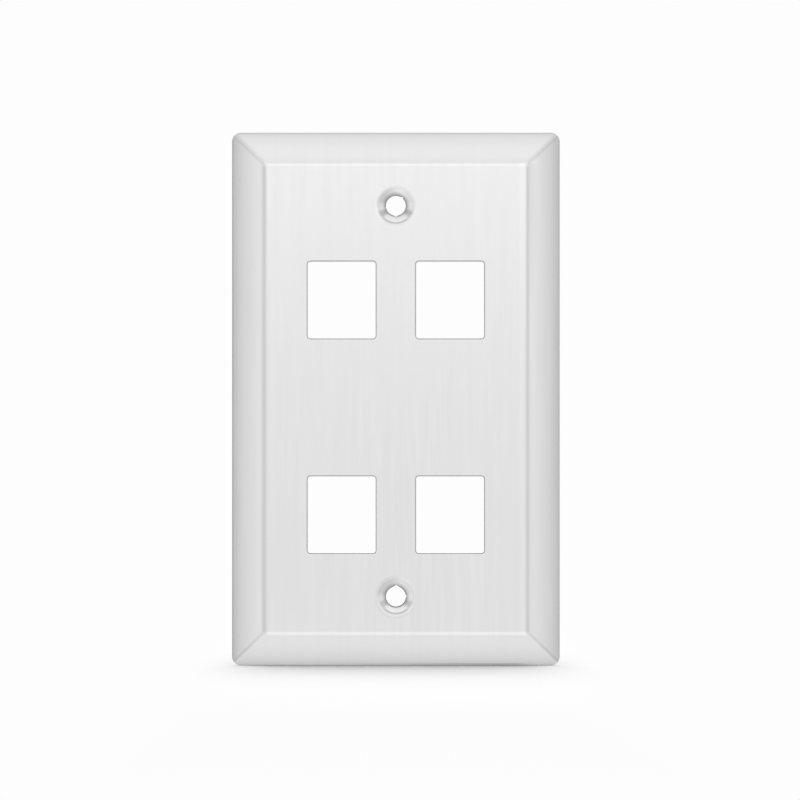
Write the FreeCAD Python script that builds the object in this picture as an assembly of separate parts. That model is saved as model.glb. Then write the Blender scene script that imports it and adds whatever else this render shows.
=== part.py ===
import FreeCAD, Part

import math
import os

# Keystone faceplate: a one-gang wall plate stamped from stainless sheet, with four moulded frames on its
# back that keystone jacks snap into. Millimetres and degrees.
# Frame: X across the plate, Z up it, Y from the room into the wall. The origin is the plate's centre on the
# wall plane, so the plate stands at negative Y and its face looks along -Y.

# --- Plate: one stamped sheet -----------------------------------------------------------------------------
PLATE_WIDTH = 70.0
PLATE_HEIGHT = 113.8
SHEET = 0.8
CORNER_RADIUS = 2.0  # outline corners, seen from the front
HIP_RADIUS = 0.4  # where two rims meet at a mitred corner

# Rim section, from the wall up to the face. Slopes are measured from the plane of the face.
LIP = 0.4  # upright edge that meets the wall
EDGE_INNER_RADIUS = 0.4  # inside bend radius where the lip turns into the rim
RIM_RUN = 6.75  # from the outline to the foot of the crease
RIM_OUTER_SLOPE = 58.0
RIM_INNER_SLOPE = 10.0
CREASE_SLOPE = 35.0  # the crease is a small step, coined between rim and face
CREASE_FACE = 0.15  # length of the step's straight stretch
CREASE_ROLL = 1.0  # radius of the roll from the step to the face

# --- Screw holes: pressed countersinks --------------------------------------------------------------------
SCREW_SPACING = 83.34  # 3-9/32 in, the spacing of a device box's ears
SCREW_PATTERN_DROP = 0.45  # the pattern's centre lies this far below the plate's
SCREW_HOLE_DIAMETER = 4.2
SCREW_SEAT_DIAMETER = 7.5  # where the cone meets its rolled rim, just clear of an oval 6-32 screw's head
SCREW_SEAT_ANGLE = 100.0  # included angle of the cone
SEAT_INNER_RADIUS = 0.2  # inside bend radius of the rolled rim
HOLE_EDGE_ROLL = 0.5  # the press rounds the edge between cone and hole
NICK_ANGLE = 120.0  # included angle of the small nicks in the holes' edges
# Each nick: its direction, anticlockwise from +X as the face is seen, and its reach past the hole's wall.
NICKS = {"upper": ((270.0, 0.24), (52.0, 0.2), (192.0, 0.12)), "lower": ((87.0, 0.36), (3.0, 0.2))}

# --- Keystone ports: punched ------------------------------------------------------------------------------
PORT_WIDTH = 14.5
PORT_HEIGHT = 16.4
PORT_CORNER = 0.6
PORT_EDGE_ROLL = 0.35  # roll-over that the punch leaves on the face side
PORT_PATTERN_DROP = 1.78  # the pattern's centre lies this far below the plate's

# --- Jack frames: moulded, one behind each port. Depths are measured from the plate's face into the wall --
THROAT_CLEARANCE = 0.3  # how far the throat stands back from the port's edge, each side
FRAME_WALL = 1.4
FRAME_CORNER = 0.8
FLANGE_THICKNESS = 1.0
FLANGE_WIDTH = 1.2  # how far the flange stands out past the walls
FLANGE_CORNER = 1.5
FRAME_GAP_X = 2.8  # clear gap between neighbouring flanges
FRAME_GAP_Z = 19.45
LEDGE_DEPTH = 8.2  # a jack's lug and latch catch behind the face at this depth
LEDGE_THICKNESS = 1.5
LEDGE_HEIGHT = 2.0
LEDGE_CHAMFER = 0.5  # lead-in at the rear, where a jack goes in
LUG_LEDGE_OFFSET = 1.5  # from the port's lower edge down to the lower ledge
LATCH_LEDGE_OFFSET = 2.0  # from the port's upper edge up to the upper ledge
LUG_THROAT_DEPTH = 4.0  # the throat's lower wall ends here, and the groove for the fixed lug begins
LATCH_THROAT_DEPTH = 5.5
DIMPLE_CLEARANCE = 0.4  # kept between a frame and a screw dimple

# --- Sizes that follow ------------------------------------------------------------------------------------
THROAT_WIDTH = PORT_WIDTH + 2 * THROAT_CLEARANCE
THROAT_HEIGHT = PORT_HEIGHT + 2 * THROAT_CLEARANCE
FRAME_WIDTH = THROAT_WIDTH + 2 * FRAME_WALL
FRAME_TOP = PORT_HEIGHT / 2 + LATCH_LEDGE_OFFSET + LEDGE_HEIGHT  # above the port's centre
FRAME_BOTTOM = PORT_HEIGHT / 2 + LUG_LEDGE_OFFSET + LEDGE_HEIGHT  # below it
FRAME_DEPTH = LEDGE_DEPTH + LEDGE_THICKNESS
PORT_PITCH_X = FRAME_WIDTH + 2 * FLANGE_WIDTH + FRAME_GAP_X
PORT_PITCH_Z = FRAME_TOP + FRAME_BOTTOM + 2 * FLANGE_WIDTH + FRAME_GAP_Z
HOLE_RADIUS = SCREW_HOLE_DIAMETER / 2
SEAT_SLOPE = 90.0 - SCREW_SEAT_ANGLE / 2
SEAT_ROLL = SHEET + SEAT_INNER_RADIUS
DIMPLE_RADIUS = SCREW_SEAT_DIAMETER / 2 + SEAT_ROLL * math.sin(math.radians(SEAT_SLOPE))
PAST = 1.0  # how far a cutting tool runs past what it cuts
TOUCH = 1e-3  # points nearer than this are one

Vector = FreeCAD.Vector
CENTRE = Vector(0, 0, 0)
INTO_WALL = Vector(0, 1, 0)


def normal_at(slope):
    """Outward unit normal of a section line that climbs inwards at this slope. Sections are drawn with x
    inwards from the outline and y up from the wall plane."""
    angle = math.radians(slope)
    return Vector(-math.sin(angle), math.cos(angle), 0)


def along(slope):
    """Unit vector up that slope."""
    angle = math.radians(slope)
    return Vector(math.cos(angle), math.sin(angle), 0)


def section_arc(centre, radius, start_slope, end_slope):
    slopes = (start_slope, (start_slope + end_slope) / 2, end_slope)
    return Part.Arc(*[centre + normal_at(s) * radius for s in slopes]).toShape()


# Arcs of the outer section: the edge above the lip, the long curve of the rim, and the roll onto the face.
EDGE_RADIUS = SHEET + EDGE_INNER_RADIUS
EDGE_CENTRE = Vector(EDGE_RADIUS, LIP, 0)
RIM_RADIUS = (RIM_RUN - EDGE_RADIUS * (1 + normal_at(RIM_OUTER_SLOPE).x)) / (
    normal_at(RIM_INNER_SLOPE).x - normal_at(RIM_OUTER_SLOPE).x
)
RIM_CENTRE = EDGE_CENTRE + normal_at(RIM_OUTER_SLOPE) * (EDGE_RADIUS - RIM_RADIUS)
STEP_TOP = RIM_CENTRE + normal_at(RIM_INNER_SLOPE) * RIM_RADIUS + along(CREASE_SLOPE) * CREASE_FACE
ROLL_CENTRE = STEP_TOP - normal_at(CREASE_SLOPE) * CREASE_ROLL
PLATE_DEPTH = ROLL_CENTRE.y + CREASE_ROLL
FACE_Y = -PLATE_DEPTH
SHEET_BACK_Y = FACE_Y + SHEET


def half_section(skin):
    """Edges from the wall plane up to the flat, on the surface this deep in the metal: 0 is its outside."""
    foot = Vector(skin, -PAST if skin else 0, 0)
    edges = [
        Part.makeLine(foot, EDGE_CENTRE + normal_at(90) * (EDGE_RADIUS - skin)),
        section_arc(EDGE_CENTRE, EDGE_RADIUS - skin, 90, RIM_OUTER_SLOPE),
        section_arc(RIM_CENTRE, RIM_RADIUS - skin, RIM_OUTER_SLOPE, RIM_INNER_SLOPE),
    ]
    rim_top = RIM_CENTRE + normal_at(RIM_INNER_SLOPE) * (RIM_RADIUS - skin)
    step_top = STEP_TOP - normal_at(CREASE_SLOPE) * skin
    if skin:
        # inside, the roll is too tight to matter: the step's line runs on up to the flat
        rise = PLATE_DEPTH - skin - step_top.y
        flat_end = step_top + along(CREASE_SLOPE) * (rise / along(CREASE_SLOPE).y)
        edges.append(Part.makeLine(rim_top, flat_end))
    else:
        edges.append(Part.makeLine(rim_top, step_top))
        edges.append(section_arc(ROLL_CENTRE, CREASE_ROLL, CREASE_SLOPE, 0))
    return edges


def section_prism(span, length, skin):
    """The whole section over this span, extruded along Z with its face towards -Y, centred on the plate."""
    near = half_section(skin)
    far = [edge.mirror(Vector(span / 2, 0, 0), Vector(1, 0, 0)) for edge in near]
    flat = Part.makeLine(near[-1].lastVertex(True).Point, far[-1].lastVertex(True).Point)
    base = Part.makeLine(near[0].firstVertex(True).Point, far[0].firstVertex(True).Point)
    wire = Part.Wire(Part.__sortEdges__(near + [flat] + far + [base]))
    prism = Part.Face(wire).extrude(Vector(0, 0, length))
    prism.translate(Vector(-span / 2, 0, -length / 2))
    return prism.mirror(CENTRE, INTO_WALL)


def block(x, y, z, radius=0.0):
    """A box between these (low, high) pairs, with its four edges along Y rounded."""
    box = Part.makeBox(x[1] - x[0], y[1] - y[0], z[1] - z[0], Vector(x[0], y[0], z[0]))
    if not radius:
        return box
    return box.makeFillet(radius, [e for e in box.Edges if abs(e.tangentAt(e.FirstParameter).y) > 0.9])


def around(centre, size):
    return (centre - size / 2, centre + size / 2)


def rim_block(skin):
    """All that lies under the surface this deep in the metal. Two crossed sections have mitred corners in
    common, and the outline rounds them off."""
    across = section_prism(PLATE_WIDTH, PLATE_HEIGHT + 2 * PAST, skin)
    upright = section_prism(PLATE_HEIGHT, PLATE_WIDTH + 2 * PAST, skin)
    upright.rotate(CENTRE, INTO_WALL, 90)
    outline = block(
        around(0, PLATE_WIDTH - 2 * skin),
        (FACE_Y - PAST, 2 * PAST),
        around(0, PLATE_HEIGHT - 2 * skin),
        CORNER_RADIUS - skin,
    )
    return across.common(upright).common(outline)


def on_mitre(edge):
    """Whether an edge runs down a corner, as far from one side of the outline as from the other."""
    ends = [vertex.Point for vertex in edge.Vertexes]
    insets = [(PLATE_WIDTH / 2 - abs(p.x), PLATE_HEIGHT / 2 - abs(p.z)) for p in ends]
    level = all(abs(across - up) < TOUCH for across, up in insets)
    return level and abs(insets[0][0] - insets[-1][0]) > TOUCH


def screw_hole_centres():
    half = SCREW_SPACING / 2
    return {"upper": half - SCREW_PATTERN_DROP, "lower": -half - SCREW_PATTERN_DROP}


def cylinder_through(radius, length, z):
    return Part.makeCylinder(radius, length, Vector(0, FACE_Y - PAST, z), INTO_WALL)


def dimple_arc(centre, radius, start_slope, end_slope):
    """Start, middle and end of an arc in a dimple's section, where a point is its radius and its depth."""
    angles = [math.radians(slope) for slope in (start_slope, (start_slope + end_slope) / 2, end_slope)]
    return [(centre[0] - radius * math.sin(a), centre[1] - radius * math.cos(a)) for a in angles]


def dimple_side(skin):
    """The rolled rim's arc, then where the cone reaches the hole, on the surface this deep in the metal."""
    roll = dimple_arc((DIMPLE_RADIUS, SEAT_ROLL), SEAT_ROLL - skin, 0, SEAT_SLOPE)
    cone_radius, cone_depth = roll[-1]
    drop = (cone_radius - HOLE_RADIUS) * math.tan(math.radians(SEAT_SLOPE))
    return roll + [(HOLE_RADIUS, cone_depth + drop)]


def hole_edge():
    """The arc that rounds off the edge between cone and hole."""
    reach = HOLE_EDGE_ROLL * math.tan(math.radians((90 - SEAT_SLOPE) / 2))
    centre = (HOLE_RADIUS + HOLE_EDGE_ROLL, dimple_side(0)[-1][1] + reach)
    return dimple_arc(centre, HOLE_EDGE_ROLL, SEAT_SLOPE, 90)


def dimple_wall(z):
    """The pressed countersink: the sheet rolls in, runs down a cone and ends at the hole."""
    front, edge, back = [
        [Vector(radius, FACE_Y + depth, z) for radius, depth in points]
        for points in (dimple_side(0), hole_edge(), dimple_side(SHEET))
    ]
    section = [
        Part.Arc(*front[:3]).toShape(),
        Part.makeLine(front[2], edge[0]),
        Part.Arc(*edge).toShape(),
        Part.makeLine(edge[2], back[3]),
        Part.makeLine(back[3], back[2]),
        Part.Arc(back[2], back[1], back[0]).toShape(),
        Part.makeLine(back[0], front[0]),
    ]
    return Part.Face(Part.Wire(section)).revolve(Vector(0, 0, z), INTO_WALL, 360)


def nick_tool(direction, reach, z):
    """A wedge whose point cuts a V into a screw hole's edge. Its wide end lies inside the hole."""
    tip = HOLE_RADIUS + reach
    length = 2 * reach
    half = length * math.tan(math.radians(NICK_ANGLE / 2))
    corners = [(tip, 0), (tip - length, half), (tip - length, -half), (tip, 0)]
    outline = Part.makePolygon([Vector(x, 0, z_off) for x, z_off in corners])
    tool = Part.Face(outline).extrude(Vector(0, PLATE_DEPTH, 0))
    tool.rotate(CENTRE, INTO_WALL, -direction)
    tool.translate(Vector(0, FACE_Y, z))
    return tool


def port_centres():
    """Centre of each port as (x, z), by its place as the face is seen."""
    rows = {"upper": PORT_PITCH_Z / 2, "lower": -PORT_PITCH_Z / 2}
    columns = {"left": -PORT_PITCH_X / 2, "right": PORT_PITCH_X / 2}
    return {
        f"{row}_{column}": (x, z - PORT_PATTERN_DROP)
        for row, z in rows.items()
        for column, x in columns.items()
    }


def on_port_edge(edge):
    """Whether an edge is the face-side edge of a port."""
    middle = edge.CenterOfMass
    near = [
        abs(middle.x - x) < PORT_WIDTH / 2 + SHEET and abs(middle.z - z) < PORT_HEIGHT / 2 + SHEET
        for x, z in port_centres().values()
    ]
    return abs(middle.y - FACE_Y) < TOUCH and any(near)


def make_faceplate():
    outside = rim_block(0)
    outside = outside.makeFillet(HIP_RADIUS, [e for e in outside.Edges if on_mitre(e)])
    plate = outside.cut(rim_block(SHEET))
    for row, z in screw_hole_centres().items():
        plate = plate.cut(cylinder_through(DIMPLE_RADIUS, SHEET + 2 * PAST, z)).fuse(dimple_wall(z))
        for direction, reach in NICKS[row]:
            plate = plate.cut(nick_tool(direction, reach, z))
    for x, z in port_centres().values():
        punch = (FACE_Y - PAST, SHEET_BACK_Y + PAST)
        plate = plate.cut(block(around(x, PORT_WIDTH), punch, around(z, PORT_HEIGHT), PORT_CORNER))
    plate = plate.removeSplitter().Solids[0]
    return plate.makeFillet(PORT_EDGE_ROLL, [e for e in plate.Edges if on_port_edge(e)])


def make_ledge(x, root_z, edge_z):
    """A ledge across a frame's rear, from its root to the edge that a jack passes, chamfered at the back."""
    front, rear = FACE_Y + LEDGE_DEPTH, FACE_Y + FRAME_DEPTH
    lead_in = math.copysign(LEDGE_CHAMFER, root_z - edge_z)
    corners = [
        (front, root_z),
        (rear, root_z),
        (rear, edge_z + lead_in),
        (rear - LEDGE_CHAMFER, edge_z),
        (front, edge_z),
        (front, root_z),
    ]
    outline = Part.makePolygon([Vector(x - FRAME_WIDTH / 2, y, z) for y, z in corners])
    return Part.Face(outline).extrude(Vector(FRAME_WIDTH, 0, 0))


def make_jack_frame(x, z):
    """One moulding: a flange bonded to the back of the sheet, a throat, two side walls and two ledges."""
    front, rear = SHEET_BACK_Y, FACE_Y + FRAME_DEPTH
    top, bottom = z + FRAME_TOP, z - FRAME_BOTTOM
    inside, outside = around(x, THROAT_WIDTH), around(x, FRAME_WIDTH)
    throat_bottom, throat_top = around(z, THROAT_HEIGHT)

    flange = block(
        around(x, FRAME_WIDTH + 2 * FLANGE_WIDTH),
        (front, front + FLANGE_THICKNESS),
        (bottom - FLANGE_WIDTH, top + FLANGE_WIDTH),
        FLANGE_CORNER,
    )
    frame = flange.cut(block(inside, (front - PAST, rear), (throat_bottom, throat_top), PORT_CORNER))
    body = block(outside, (front, rear), (bottom, top), FRAME_CORNER)
    walls = body.cut(block(inside, (front - PAST, rear + PAST), (bottom - PAST, top + PAST)))
    bars = [
        block(outside, (front, FACE_Y + LUG_THROAT_DEPTH), (throat_bottom - FRAME_WALL, throat_bottom)),
        block(outside, (front, FACE_Y + LATCH_THROAT_DEPTH), (throat_top, throat_top + FRAME_WALL)),
        make_ledge(x, bottom, bottom + LEDGE_HEIGHT),
        make_ledge(x, top, top - LEDGE_HEIGHT),
    ]
    frame = frame.fuse(walls)
    for bar in bars:
        frame = frame.fuse(bar.common(body))
    for hole_z in screw_hole_centres().values():
        frame = frame.cut(cylinder_through(DIMPLE_RADIUS + DIMPLE_CLEARANCE, FRAME_DEPTH + 2 * PAST, hole_z))
    return frame.removeSplitter().Solids[0]


os.makedirs("parts", exist_ok=True)
make_faceplate().exportStep("parts/faceplate.step")
for place, (centre_x, centre_z) in port_centres().items():
    make_jack_frame(centre_x, centre_z).exportStep(f"parts/jack_frame_{place}.step")
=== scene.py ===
# %% [markdown]
# # A four-port keystone faceplate in brushed stainless steel
#
# A wall plate like this closes a one-gang box and holds four network jacks. It is pressed from one
# sheet of steel, so the steel's finish, and the studio that it mirrors, are nearly all that the eye
# gets. This lesson keeps every shape as the CAD model has it and spends its effort on three things:
# a camera that sees the plate as a catalogue does, a studio that brushed steel looks good in, and
# finishes that are made only of nodes, with much of the light and shade on the plate painted in.

import math

import bpy
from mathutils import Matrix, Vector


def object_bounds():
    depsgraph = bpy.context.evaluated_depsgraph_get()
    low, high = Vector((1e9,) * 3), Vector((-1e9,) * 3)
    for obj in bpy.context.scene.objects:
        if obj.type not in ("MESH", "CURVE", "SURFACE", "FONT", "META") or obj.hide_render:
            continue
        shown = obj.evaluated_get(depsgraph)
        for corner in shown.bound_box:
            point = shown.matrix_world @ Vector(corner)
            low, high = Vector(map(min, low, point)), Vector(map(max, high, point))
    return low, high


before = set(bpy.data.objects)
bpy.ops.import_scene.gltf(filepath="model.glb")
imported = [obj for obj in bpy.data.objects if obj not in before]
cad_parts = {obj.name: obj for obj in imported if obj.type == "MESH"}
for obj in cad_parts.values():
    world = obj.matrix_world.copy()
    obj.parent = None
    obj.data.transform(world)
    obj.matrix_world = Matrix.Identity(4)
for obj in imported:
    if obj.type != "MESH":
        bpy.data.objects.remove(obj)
bpy.ops.object.select_all(action="DESELECT")
cad_low, cad_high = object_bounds()
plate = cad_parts["faceplate"]
print("pieces:", ", ".join(sorted(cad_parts)))
print("size in mm:", [round(1000 * side, 2) for side in cad_high - cad_low])

# %% [markdown]
# ## The camera
#
# A product picture of a flat plate is taken straight on and from far away, so that its sides don't
# converge and its openings look straight through. An orthographic camera would do that too, but a
# long lens keeps a trace of perspective: the floor in front of the plate stays in sight. The lens
# follows from the distance and from how much of the plate's plane the picture is wide.

# %% Camera
CAMERA_DISTANCE = 1.9
PICTURE_WIDTH = 0.17093
CAMERA_OFFSET = (0.00088, -0.0002)  # to the right of the plate's centre, and above it

bpy.ops.object.camera_add(
    location=(CAMERA_OFFSET[0], -CAMERA_DISTANCE, CAMERA_OFFSET[1]),
    rotation=(math.radians(90), 0, 0),
)
camera = bpy.context.object
camera.name = "catalogue_camera"
camera.data.lens = camera.data.sensor_width * CAMERA_DISTANCE / PICTURE_WIDTH
camera.data.clip_end = 50
bpy.context.scene.camera = camera
bpy.context.scene.view_settings.view_transform = "Standard"
print("lens in mm:", round(camera.data.lens))

# %% [markdown]
# ## Helpers for nodes
#
# Every finish and the studio itself are node trees. Made by hand, a node is dropped in, its fields
# are filled, and wires are drawn to it. The first helper below does the same three things in one
# call: an input is given either a number or the output that feeds it. The others make the nodes
# that this lesson uses most. A mask is a number from 0 to 1 that says how much a spot belongs to a
# place, and multiplied masks leave only the spots that belong to all of them.


# %% Helpers for node trees
def add_node(tree, kind, inputs=None, **settings):
    """Adds a node. Each input is a value, or the output socket that is wired to it."""
    made = tree.nodes.new(kind)
    for name, value in settings.items():
        setattr(made, name, value)
    for name, value in (inputs or {}).items():
        if isinstance(value, bpy.types.NodeSocket):
            tree.links.new(value, made.inputs[name])
        else:
            made.inputs[name].default_value = value
    return made


def maths(tree, operation, *values):
    """One Math node, given by the operation and its numbers or outputs."""
    return add_node(
        tree, "ShaderNodeMath", dict(enumerate(values)), operation=operation
    ).outputs[0]


def product(tree, first, *others):
    """Multiplies masks or numbers."""
    for other in others:
        first = maths(tree, "MULTIPLY", first, other)
    return first


def fade(tree, value, start, end, low=0.0, high=1.0):
    """Goes smoothly from low, where the value is start, to high, where it is end."""
    return add_node(
        tree,
        "ShaderNodeMapRange",
        {"Value": value, "From Min": start, "From Max": end, "To Min": low, "To Max": high},
        interpolation_type="SMOOTHSTEP",
    ).outputs["Result"]


def scaled_by(tree, mask, change):
    """The factor 1 outside the mask and 1 + change inside it."""
    return maths(tree, "MULTIPLY_ADD", mask, change, 1.0)


print("helpers ready")

# %% [markdown]
# ## The studio
#
# Metal has no colour of its own to show: it shows the room. A real studio could be built from walls
# and cards, but a world made of nodes does the same for every angle at once, without noise. A plain
# white room makes brushed steel look like grey card, so this one is white in front of the plate and
# greyer towards its sides, which is what rounds off the rim. It brightens again far behind, for the
# back of the plate.

# %% What the steel mirrors
ROOM_STOPS = [  # from straight ahead of the plate, at 0, to straight behind it, at 1
    (0.00, 0.99),
    (0.12, 1.03),
    (0.24, 0.98),
    (0.42, 0.90),
    (0.57, 0.82),
    (0.64, 0.72),
    (0.75, 0.52),
    (0.86, 0.48),
    (0.95, 0.98),
]
STEEP_LEAN = -0.12  # what lies steeply above or below counts as a little nearer to the front

world = bpy.data.worlds.new("studio")
bpy.context.scene.world = world
world.use_nodes = True
room = world.node_tree
room.nodes.clear()

direction = add_node(room, "ShaderNodeTexCoord").outputs["Generated"]
towards = add_node(room, "ShaderNodeSeparateXYZ", {0: direction}).outputs
steepness = maths(room, "POWER", towards["Z"], 2.0)
backwards = maths(room, "MULTIPLY_ADD", steepness, STEEP_LEAN, towards["Y"])
from_front = maths(room, "MULTIPLY_ADD", backwards, 0.5, 0.5)
ramp = add_node(room, "ShaderNodeValToRGB", {"Fac": from_front})
elements = ramp.color_ramp.elements
while len(elements) < len(ROOM_STOPS):
    elements.new(0.5)
for element, (place, grey) in zip(elements, ROOM_STOPS):
    element.position = place
    element.color = (grey, grey, grey, 1)
print("room:", len(ROOM_STOPS), "greys from front to back")

# %% [markdown]
# ### Ceiling, floor and walls of the studio
#
# The same grey all round would light the four rims alike. In a real studio the light comes mostly
# from above, so the ceiling is brighter here, most of all behind the plate, the floor is a trace
# brighter, and the right-hand wall is slightly duller. Each is a factor that fades in with the
# direction.

# %% Uneven walls
overhead = fade(room, towards["Z"], 0.1, 1.0, low=1.0, high=1.18)
underfoot = fade(room, towards["Z"], -0.1, -0.6, low=1.0, high=1.045)
to_right = product(
    room, fade(room, towards["X"], 0.1, 0.5), fade(room, towards["Y"], 0.0, -0.3)
)
behind_above = product(
    room, fade(room, towards["Z"], 0.3, 0.8), fade(room, towards["Y"], 0.0, 0.25)
)
strength = product(
    room,
    overhead,
    underfoot,
    scaled_by(room, to_right, -0.03),
    scaled_by(room, behind_above, 0.09),
)
mirrored = add_node(
    room, "ShaderNodeBackground", {"Color": ramp.outputs["Color"], "Strength": strength}
)
print("room:", len(room.nodes), "nodes")

# %% [markdown]
# ### Who sees which room
#
# A Light Path node tells what kind of ray asks. Reflected rays, from the steel and from the gloss
# of the plastic, see the mirrored room. The camera sees plain white behind the plate. Scattered
# rays, from the floor and from the plastic's colour, get a weak, even light. The steel would also
# throw patches of light down to the floor, where they would fill the shadow at its foot, so a ray
# that goes from the floor by way of the steel finds nothing.

# %% Light paths
WHITE = 0.982  # what the camera sees behind the plate, just short of blank paper
EVEN_LIGHT = 0.25

path = add_node(room, "ShaderNodeLightPath").outputs
reflected = maths(room, "MAXIMUM", path["Is Glossy Ray"], path["Is Transmission Ray"])
straight = maths(room, "LESS_THAN", path["Diffuse Depth"], 0.5)
spread = fade(room, reflected, 0.0, 1.0, low=EVEN_LIGHT, high=0.0)
lighting = add_node(room, "ShaderNodeBackground", {"Color": (1, 1, 1, 1), "Strength": spread})
backdrop = add_node(room, "ShaderNodeBackground", {"Color": (1, 1, 1, 1), "Strength": WHITE})
unseen = add_node(
    room,
    "ShaderNodeMixShader",
    {0: product(room, reflected, straight), 1: lighting.outputs[0], 2: mirrored.outputs[0]},
)
seen = add_node(
    room,
    "ShaderNodeMixShader",
    {0: path["Is Camera Ray"], 1: unseen.outputs[0], 2: backdrop.outputs[0]},
)
add_node(room, "ShaderNodeOutputWorld", {"Surface": seen.outputs[0]})
print("studio:", len(room.nodes), "nodes")

# %% [markdown]
# ## The floor
#
# The plate stands on its lower edge on a pale floor, and all that is wanted of the floor is the
# soft shadow at the foot. A plane that is painted white would do, but its far edge and its own
# slight grey would show against the backdrop. So the paint melts into the backdrop's white, well
# before and behind the plate and just past both its sides, and only the camera sees that. From
# below, the camera looks straight through the floor, as if it stood on glass.

# %% Floor
FLOOR_SIDE = 8
FLOOR_PAINT = (0.9, 0.9, 0.9, 1)
MELTS_AROUND = (0.2, 0.6)  # how far from the plate the paint begins to melt, and has melted
MELTS_SIDEWAYS = (0.025, 0.045)  # the same, only to the left and right

bpy.ops.mesh.primitive_plane_add(size=FLOOR_SIDE, location=(0, 0, cad_low.z))
floor = bpy.context.object
floor.name = "floor"
floor_finish = bpy.data.materials.new("pale_floor")
floor_finish.use_nodes = True
ground = floor_finish.node_tree
ground.nodes.clear()
spot = add_node(ground, "ShaderNodeTexCoord").outputs["Object"]
distance = add_node(ground, "ShaderNodeVectorMath", {0: spot}, operation="LENGTH").outputs["Value"]
sideways = add_node(ground, "ShaderNodeSeparateXYZ", {0: spot}).outputs["X"]
to_side = maths(ground, "ABSOLUTE", sideways)
melting = maths(
    ground,
    "MAXIMUM",
    fade(ground, distance, *MELTS_AROUND),
    fade(ground, to_side, *MELTS_SIDEWAYS),
)
is_camera = add_node(ground, "ShaderNodeLightPath").outputs["Is Camera Ray"]
paint = add_node(ground, "ShaderNodeBsdfDiffuse", {"Color": FLOOR_PAINT})
plain = add_node(ground, "ShaderNodeEmission", {"Strength": WHITE})
blend = add_node(
    ground,
    "ShaderNodeMixShader",
    {0: product(ground, melting, is_camera), 1: paint.outputs[0], 2: plain.outputs[0]},
)
underside = add_node(ground, "ShaderNodeNewGeometry").outputs["Backfacing"]
nothing = add_node(ground, "ShaderNodeBsdfTransparent")
seen_floor = add_node(
    ground,
    "ShaderNodeMixShader",
    {0: product(ground, underside, is_camera), 1: blend.outputs[0], 2: nothing.outputs[0]},
)
add_node(ground, "ShaderNodeOutputMaterial", {"Surface": seen_floor.outputs[0]})
floor.data.materials.append(floor_finish)
floor.visible_glossy = False
print("floor at", round(1000 * floor.location.z, 2), "mm")

# %% [markdown]
# ## The lamps
#
# A wide scrim hangs level over the plate, as in a tent of white cloth. It gives the floor its even
# light and the plate's foot its soft shadow. The steel mirrors the room above, so the scrim is kept
# out of its reflections. Two long strips in front are there for the steel: they put a gentle bright
# band across its upper and its lower half.


# %% Lamps
def softbox(name, place, size, radiance, aim=(0, 0, 0)):
    """A rectangular lamp that points at aim. Its power follows from how bright its face is."""
    bpy.ops.object.light_add(type="AREA", location=place)
    lamp = bpy.context.object
    lamp.name = name
    lamp.data.shape = "RECTANGLE"
    lamp.data.size, lamp.data.size_y = size
    lamp.data.energy = radiance * math.pi * size[0] * size[1]
    back = lamp.location - type(lamp.location)(aim)
    lamp.rotation_euler = back.to_track_quat("Z", "Y").to_euler()
    return lamp


scrim = softbox(
    "overhead_scrim", (0, 0.3, 1.1), size=(1.4, 2.4), radiance=2.11, aim=(0, 0.3, 0)
)
scrim.visible_glossy = False
softbox("upper_strip", (0.1, -0.6, 0.13), size=(0.8, 0.14), radiance=0.5)
softbox("lower_strip", (0.0, -0.6, -0.15), size=(0.8, 0.06), radiance=0.4)
print("lamps:", [light.name for light in bpy.data.lights])

# %% [markdown]
# ## Finding places on the plate
#
# A pressed and brushed sheet isn't the same all over. Its folds, its mitred corners, its outline,
# its two screw dimples and its port edges get painted light and shade, and its back a duller tone
# of its own. Image textures would be one way to place them. Masks worked out from Object
# coordinates are
# another: they need no unwrapping, stay sharp at any distance, and sit on the plate wherever it is
# moved. Object coordinates are in metres here, so the plate's own sizes below are given as so many
# times MM.

# %% Places on the plate
MM = 0.001
FOLD_ACROSS = 28.07 * MM  # the folds between face and rim, from the plate's upright centre line
FOLD_UP = 49.98 * MM  # and from its level one
DIMPLE_DROP = 0.45 * MM  # the screw dimples' pattern sits this far below the plate's centre
DIMPLE_SPACING = 83.34 * MM
DIMPLE_RADIUS = 4.4 * MM

brushed = bpy.data.materials.new("brushed_stainless_finish")
brushed.use_nodes = True
steel = brushed.node_tree
steel.nodes.clear()

coordinates = add_node(steel, "ShaderNodeTexCoord").outputs
x, y, z = add_node(steel, "ShaderNodeSeparateXYZ", {0: coordinates["Object"]}).outputs
across = maths(steel, "ABSOLUTE", x)
up = maths(steel, "ABSOLUTE", z)


def line_at(value, place, core, edge):
    """1 where the value is within core of a place, fading to 0 at edge."""
    off = maths(steel, "ABSOLUTE", maths(steel, "SUBTRACT", value, place))
    return fade(steel, off, edge, core)


def upper_or_lower(upper, lower):
    """One number for the plate's upper half and another for its lower half."""
    return fade(steel, z, -10 * MM, 10 * MM, lower, upper)


def left_or_right(left, right):
    """One number for the plate's left half and another for its right half."""
    return fade(steel, x, -10 * MM, 10 * MM, left, right)


print("folds at", round(FOLD_ACROSS / MM, 2), "and", round(FOLD_UP / MM, 2), "mm")
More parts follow.
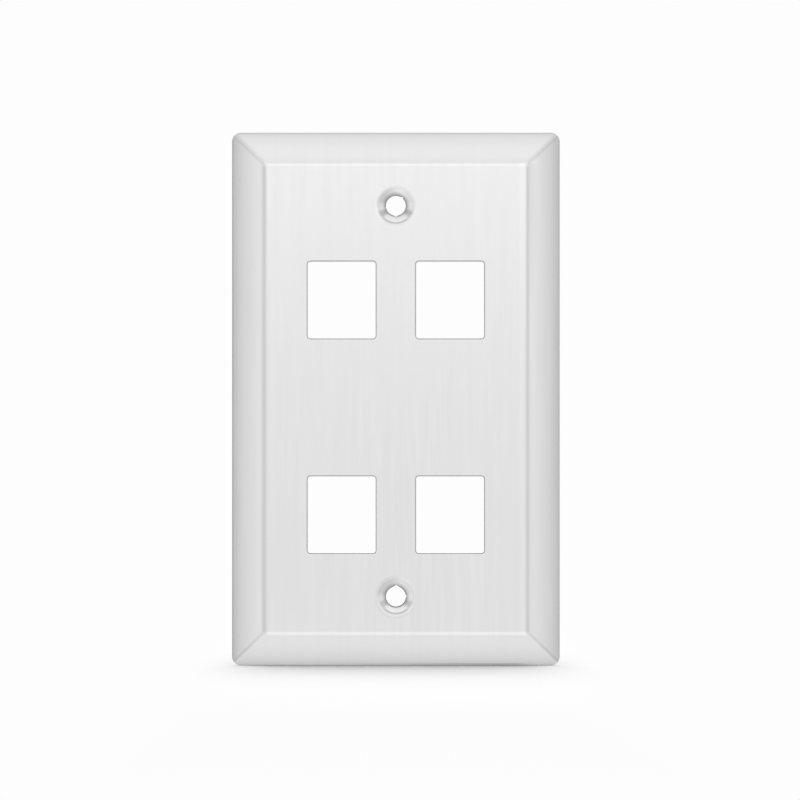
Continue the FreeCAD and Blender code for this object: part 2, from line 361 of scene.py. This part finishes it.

# %% [markdown]
# ### The folds
#
# The folds carry painted light and shade: a painted highlight along the two level folds, and a
# painted shade along the two upright ones. Each fold is a narrow line, cut off where it meets the
# others. Just inside the upright folds there is a faint painted shade on the left of the face and a
# faint painted highlight on the right. The right rim gets a painted shade just beyond its fold, in
# its upper half.

# %% Folds
within_width = fade(steel, across, FOLD_ACROSS + 0.5 * MM, FOLD_ACROSS)
within_height = fade(steel, up, FOLD_UP + 0.5 * MM, FOLD_UP)
level_place = upper_or_lower(FOLD_UP - 0.08 * MM, FOLD_UP)
# Painted highlight along the level folds.
level_fold_highlight = product(steel, line_at(up, level_place, 0.1 * MM, 0.55 * MM), within_width)
# Painted shade along the upright folds.
upright_place = left_or_right(FOLD_ACROSS + 0.08 * MM, FOLD_ACROSS)
upright_fold_shade = product(steel, line_at(across, upright_place, 0.15 * MM, 0.8 * MM), within_height)
# Painted shade just inside the left fold, painted highlight just inside the right fold.
painted_shade_inside_left_fold = product(steel, line_at(x, -27.6 * MM, 0.1 * MM, 0.6 * MM), within_height)
painted_highlight_inside_right_fold = product(steel, line_at(x, 27.0 * MM, 0.3 * MM, 0.9 * MM), within_height)
# Painted shade on the right rim's upper half, just beyond its fold.
painted_right_rim_shade = product(
    steel,
    fade(steel, x, 28.1 * MM, 28.4 * MM),
    fade(steel, x, 30.3 * MM, 28.7 * MM),
    fade(steel, z, 12 * MM, 45 * MM),
    within_height,
)
fold_light_and_shade = [
    (level_fold_highlight, upper_or_lower(0.13, 0.165)),
    (upright_fold_shade, left_or_right(-0.145, -0.115)),
    (painted_shade_inside_left_fold, -0.05),
    (painted_highlight_inside_right_fold, 0.03),
    (painted_right_rim_shade, -0.11),
]
print("fold marks:", len(fold_light_and_shade))

# %% [markdown]
# ### The mitres
#
# Where two rims meet at a corner, a painted shade darkens the last millimetre before the mitre.
# The distance from the mitre is a straight difference of the two coordinates, because the corner is
# at 45 degrees. The four painted shades are not alike: the two upper ones run wider, and the lower
# ones lie a little to the side rim's side.

# %% Mitres
beyond = maths(steel, "SUBTRACT", up, FOLD_UP)
aside = maths(steel, "SUBTRACT", across, FOLD_ACROSS)
from_mitre = product(steel, maths(steel, "SUBTRACT", beyond, aside), math.sqrt(0.5))
from_mark = maths(steel, "ADD", from_mitre, upper_or_lower(-0.1 * MM, 0.15 * MM))
outwards = maths(steel, "MINIMUM", beyond, aside)
# A painted shade just before each mitre.
mitre = product(
    steel,
    fade(steel, from_mark, -0.7 * MM, -0.2 * MM),
    fade(steel, from_mark, upper_or_lower(0.9 * MM, 0.4 * MM), -0.1 * MM),
    fade(steel, outwards, -0.3 * MM, 0.3 * MM),
    fade(steel, outwards, 0.0, 4 * MM, 0.7, 1.0),
)
mitre_shade_marks = [(mitre, upper_or_lower(-0.18, -0.16))]
print("mitre marks:", len(mitre_shade_marks))

# %% [markdown]
# ### The plate's outline
#
# A narrow painted shade runs along part of the outline: on the left edge and on the right part of
# the lower one.

# %% Outline
# Painted shade along the right part of the lower edge, and along the left edge.
lower_edge_shade = product(
    steel,
    line_at(z, cad_low.z + 0.28 * MM, 0.1 * MM, 0.4 * MM),
    fade(steel, x, -18 * MM, 22 * MM),
    fade(steel, x, 31 * MM, 24 * MM),
)
left_edge_shade = fade(steel, x, cad_low.x + 0.5 * MM, cad_low.x + 0.1 * MM)
outline_shade_marks = [(lower_edge_shade, -0.30), (left_edge_shade, -0.16)]
print("outline marks:", len(outline_shade_marks))

# %% [markdown]
# ### Finding places in a screw dimple
#
# The dimples are pressed into the brushed sheet by a polished punch. To place anything in them, a
# spot needs two numbers: its distance from the middle of the nearer hole, and its bearing from
# there. The bearing is given by how far up and how far left the spot lies, each from -1 to 1.

# %% Round the holes
from_pattern = maths(steel, "ADD", z, DIMPLE_DROP)
nearer_hole = maths(steel, "SIGN", from_pattern)
rise = maths(steel, "MULTIPLY_ADD", nearer_hole, -DIMPLE_SPACING / 2, from_pattern)
from_hole = maths(
    steel,
    "SQRT",
    maths(steel, "ADD", maths(steel, "POWER", x, 2.0), maths(steel, "POWER", rise, 2.0)),
)
upwards = maths(steel, "DIVIDE", rise, from_hole)
leftwards = maths(steel, "DIVIDE", x, product(steel, from_hole, -1.0))
up_and_left = maths(steel, "ADD", upwards, leftwards)
up_and_right = maths(steel, "SUBTRACT", upwards, leftwards)
dimple = fade(steel, from_hole, DIMPLE_RADIUS, DIMPLE_RADIUS - 0.8 * MM)
print("dimples", round(2 * DIMPLE_RADIUS / MM, 1), "mm across")

# %% [markdown]
# ### Painted light and shade in the dimples
#
# Polished steel would mirror the studio sharply in the dimples, while the shader's satin blurs what
# it mirrors. So their highlights and shade are painted in as changes of tone: a painted shade ring
# at the edge of the hole, two painted shade cheeks low on the wall, two painted glints beside the
# hole, a painted shade and a painted highlight on the shoulder above it, a painted highlight on the
# flank below it, and a thin painted shade line near the wall's outer edge below the hole. Each
# dimple has some numbers of its own.

# %% Dimple marks
lower_side = fade(steel, upwards, -0.6, -0.85)
# A painted shade ring at the edge of the hole, wider on its lower side.
ring_end = maths(steel, "MULTIPLY_ADD", lower_side, -0.5 * MM, 3.0 * MM)
hole_edge_shade = fade(steel, from_hole, ring_end, 2.2 * MM)
wall_start = fade(steel, from_hole, 2.1 * MM, 2.7 * MM)
wall_end = fade(steel, from_hole, upper_or_lower(4.2 * MM, 3.9 * MM), 3.4 * MM)
# Where the thin painted shade line lies, round the lower side of the wall.
shade_line_radius = upper_or_lower(3.74 * MM, 3.58 * MM)


def on_wall(bearing):
    """The part of the dimple's wall that lies on this bearing."""
    return product(steel, bearing, wall_start, wall_end)


def arc(radius, core, edge, *bearings):
    """A line round the hole at this radius, only where it lies on all the bearings."""
    return product(steel, line_at(from_hole, radius, core, edge), *bearings)


dimple_light_and_shade = [
    # Painted shade and highlights in the dimples, each a mask and its change of tone.
    (hole_edge_shade, maths(steel, "MULTIPLY_ADD", lower_side, -0.12, -0.33)),
    (on_wall(line_at(upwards, -0.5, 0.05, 0.3)), upper_or_lower(-0.33, -0.22)),  # cheeks
    (on_wall(line_at(upwards, -0.02, 0.1, 0.35)), upper_or_lower(0.12, 0.15)),  # glints
    (on_wall(fade(steel, up_and_left, 0.7, 1.4)), -0.12),  # dull shoulder
    (on_wall(fade(steel, up_and_right, 0.7, 1.4)), 0.07),  # bright shoulder
    (arc(3.0 * MM, 0.3 * MM, 0.6 * MM, lower_side), 0.08),  # bright flank
    (arc(shade_line_radius, 0.08 * MM, 0.35 * MM, lower_side), upper_or_lower(-0.28, -0.32)),
]
print("dimple marks:", len(dimple_light_and_shade))

# %% [markdown]
# ### The lips of the dimples
#
# Where the cone rolls over into the face, its lip mirrors more of the room than the flat face does,
# and that is painted in too. The upper dimple's upper lip gets a painted highlight. Round the lower
# dimple the lip gets a painted shade: above only on the left, and below all along, though less
# towards the right.

# %% Dimple lips
above = fade(steel, upwards, -0.1, 0.3)
below = product(
    steel, fade(steel, upwards, 0.0, -0.6), fade(steel, leftwards, -1.0, -0.4, 0.35, 1.0)
)
at_top = fade(steel, upwards, 0.75, 0.95)
at_upper_left = fade(steel, up_and_left, 0.5, 1.3)
# Painted highlights and shade on the dimples' lips.
lip_light_and_shade = [
    (arc(3.3 * MM, 0.2 * MM, 0.6 * MM, at_top), upper_or_lower(0.09, 0.0)),
    (arc(4.25 * MM, 0.1 * MM, 0.4 * MM, above), upper_or_lower(0.05, 0.0)),
    (arc(4.0 * MM, 0.3 * MM, 0.6 * MM, at_upper_left, above), upper_or_lower(0.0, -0.11)),
    (arc(4.28 * MM, 0.1 * MM, 0.4 * MM, below), upper_or_lower(0.0, -0.15)),
]
dimple_light_and_shade += lip_light_and_shade
print("lip marks:", len(lip_light_and_shade))

# %% [markdown]
# ### The back
#
# Nobody brushes the back of a wall plate. It keeps the flat grey of the rolling mill. The surface's
# own normal tells back from front: on the back it points into the wall.

# %% Back
facing = add_node(steel, "ShaderNodeSeparateXYZ", {0: coordinates["Normal"]}).outputs
back = fade(steel, facing["Y"], -0.02, 0.3)
front = fade(steel, back, 1, 0)
back_marks = [(back, -0.12)]
print("back marks:", len(back_marks))

# %% [markdown]
# ### The port edges
#
# A punch shears the ports out and drags their edges down a little. The edges get a painted shade,
# most of all on the level edges. Whatever lies deeper than the face, but isn't a rim, a dimple or
# the back, has to be such an edge, and on a level one the normal leans up or down.

# %% Port edges
deeper = maths(steel, "SUBTRACT", y, cad_low.y)
# Painted shade along the port edges.
port_edge_shade = product(
    steel,
    fade(steel, deeper, 0.004 * MM, 0.06 * MM),
    fade(steel, across, FOLD_ACROSS - 2 * MM, FOLD_ACROSS - 3 * MM),
    fade(steel, up, FOLD_UP - 2 * MM, FOLD_UP - 3 * MM),
    front,
    fade(steel, from_hole, DIMPLE_RADIUS, DIMPLE_RADIUS + 1 * MM),
)
levelness = maths(steel, "ABSOLUTE", facing["Z"])
# The painted shade is stronger on the level edges.
port_edge_shade_marks = [(port_edge_shade, fade(steel, levelness, 0.1, 0.4, -0.21, -0.40))]
print("edge marks:", len(port_edge_shade_marks))

# %% [markdown]
# ### The grain
#
# Brushing leaves scratches of all sizes. A scanned texture would repeat itself on a plate this
# plain, and noise never does. Three layers of it, each drawn out along the plate's height, give
# fine scratches, the streaks that catch the eye, and broad faint bands. A fourth, wide layer makes
# the streaks come and go in patches, as they do when a belt wears. The back has a layer of its own,
# the drawn-out clouds that rolling leaves.


# %% Grain
def streaks(width, length, seed, detail=2.0):
    """Noise drawn out along Z: its features are about this wide and this long, in metres."""
    stretched = add_node(
        steel,
        "ShaderNodeMapping",
        {
            "Vector": coordinates["Object"],
            "Location": (seed, seed, seed),
            "Scale": (1 / width, 1 / length, 1 / length),
        },
    )
    noise = add_node(
        steel,
        "ShaderNodeTexNoise",
        {"Vector": stretched.outputs[0], "Scale": 1.0, "Detail": detail, "Roughness": 0.55},
    )
    return maths(steel, "SUBTRACT", noise.outputs["Fac"], 0.5)


scratches = streaks(0.18 * MM, 9 * MM, seed=3.0)
grain = streaks(0.9 * MM, 18 * MM, seed=11.0)
bands = streaks(3.2 * MM, 45 * MM, seed=23.0, detail=1.0)
coming_and_going = streaks(12 * MM, 20 * MM, seed=31.0, detail=1.0)
patches = fade(steel, coming_and_going, -0.2, 0.2, 0.4, 1.6)
rolling = streaks(2.0 * MM, 30 * MM, seed=47.0)
print("grain layers:", 5)

# %% [markdown]
# ### One tone from all of it
#
# The grain counts only where the belt has been, so not in the dimples and not on the back. The belt
# presses harder as it runs down the face, and less than half as hard on the two level rims, where
# the sheet falls away under it. Then every mark above, nearly all of them painted light and shade,
# raises or lowers the tone in its own place. The layers of grain change it by a few percent. Most
# marks are stronger, and the darkest takes nearly half of the light away, but they are narrow.

# %% Tone of the steel
STEEL = (0.76, 0.76, 0.762)
SCRATCH_SHARE = 0.025  # how much each layer of grain changes the tone
GRAIN_SHARE = 0.07
BAND_SHARE = 0.04
ROLLING_SHARE = 0.12

brushing = product(steel, scratches, SCRATCH_SHARE)
brushing = maths(steel, "MULTIPLY_ADD", grain, GRAIN_SHARE, brushing)
brushing = product(steel, brushing, patches)
brushing = maths(steel, "MULTIPLY_ADD", bands, BAND_SHARE, brushing)
pressure = product(
    steel,
    fade(steel, up, FOLD_UP - 0.5 * MM, FOLD_UP + 0.5 * MM, 1.0, 0.4),
    upper_or_lower(0.75, 1.15),
)
brushing = product(steel, brushing, pressure)
brushed_part = product(steel, fade(steel, dimple, 1, 0), front)
tone = maths(steel, "MULTIPLY_ADD", brushing, brushed_part, 1.0)
tone = maths(steel, "MULTIPLY_ADD", product(steel, rolling, ROLLING_SHARE), back, tone)
marks = fold_light_and_shade + mitre_shade_marks + outline_shade_marks + dimple_light_and_shade + port_edge_shade_marks + back_marks
for mask, change in marks:
    tone = product(steel, tone, scaled_by(steel, mask, change))
steel_colour = add_node(
    steel, "ShaderNodeVectorMath", {0: STEEL, "Scale": tone}, operation="SCALE"
)
print("steel reflects about", STEEL[0], "of the light")

# %% [markdown]
# ### The steel itself
#
# Metal's base colour is what it reflects straight on. A roughness of 0.35 is a satin finish. The
# scratches vary it, the punch has smoothed the dimples, and the mill's surface on the back is
# duller. The shader's tangent points sideways, across the scratches, so that anisotropy smears
# reflections that way and keeps them crisp up and down. A very shallow bump lets each scratch catch
# light of its own in close views.

# %% Brushed steel
SATIN = 0.35

roughness = maths(steel, "MULTIPLY_ADD", scratches, 0.12, SATIN)
roughness = maths(steel, "MULTIPLY_ADD", dimple, -0.10, roughness)
roughness = maths(steel, "MULTIPLY_ADD", back, 0.12, roughness)
relief = add_node(
    steel,
    "ShaderNodeBump",
    {
        "Strength": 0.15,
        "Distance": 0.02 * MM,
        "Height": product(steel, scratches, brushed_part),
    },
)
tangent = add_node(steel, "ShaderNodeCombineXYZ", {"X": 1.0, "Y": 0.0, "Z": 0.0})
steel_surface = add_node(
    steel,
    "ShaderNodeBsdfPrincipled",
    {
        "Base Color": steel_colour.outputs[0],
        "Metallic": 1.0,
        "Roughness": roughness,
        "Anisotropic": 0.7,
        "Tangent": tangent.outputs[0],
        "Normal": relief.outputs[0],
    },
)
add_node(steel, "ShaderNodeOutputMaterial", {"Surface": steel_surface.outputs[0]})
plate.material_slots[0].material = brushed
print("brushed steel:", len(steel.nodes), "nodes")

# %% [markdown]
# ## Moulded plastic
#
# The four frames behind the ports are moulded in black ABS from a spark-eroded tool, which gives a
# fine, even, slightly sparkling texture and hides scuffs. Two layers of noise are enough: a fine
# one for the texture's bumps and gloss, and a broad one for the faint clouds that the flowing
# plastic leaves.

# %% Jack frames
BLACK = (0.035, 0.035, 0.037)

moulded = bpy.data.materials.new("moulded_plastic_finish")
moulded.use_nodes = True
plastic = moulded.node_tree
plastic.nodes.clear()
where = add_node(plastic, "ShaderNodeTexCoord").outputs["Object"]
texture = add_node(
    plastic, "ShaderNodeTexNoise", {"Vector": where, "Scale": 3500.0, "Detail": 2.0}
).outputs["Fac"]
flow = add_node(
    plastic, "ShaderNodeTexNoise", {"Vector": where, "Scale": 180.0, "Detail": 3.0}
).outputs["Fac"]
shade = fade(plastic, flow, 0.35, 0.65, 0.85, 1.2)
plastic_colour = add_node(
    plastic, "ShaderNodeVectorMath", {0: BLACK, "Scale": shade}, operation="SCALE"
)
eroded = add_node(
    plastic, "ShaderNodeBump", {"Strength": 0.35, "Distance": 0.06 * MM, "Height": texture}
)
plastic_surface = add_node(
    plastic,
    "ShaderNodeBsdfPrincipled",
    {
        "Base Color": plastic_colour.outputs[0],
        "Roughness": fade(plastic, texture, 0.3, 0.7, 0.42, 0.58),
        "Normal": eroded.outputs[0],
    },
)
add_node(plastic, "ShaderNodeOutputMaterial", {"Surface": plastic_surface.outputs[0]})
jack_frames = [node for name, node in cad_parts.items() if name.startswith("jack_frame")]
for node in jack_frames:
    node.material_slots[0].material = moulded
print("moulded plastic on", len(jack_frames), "frames")
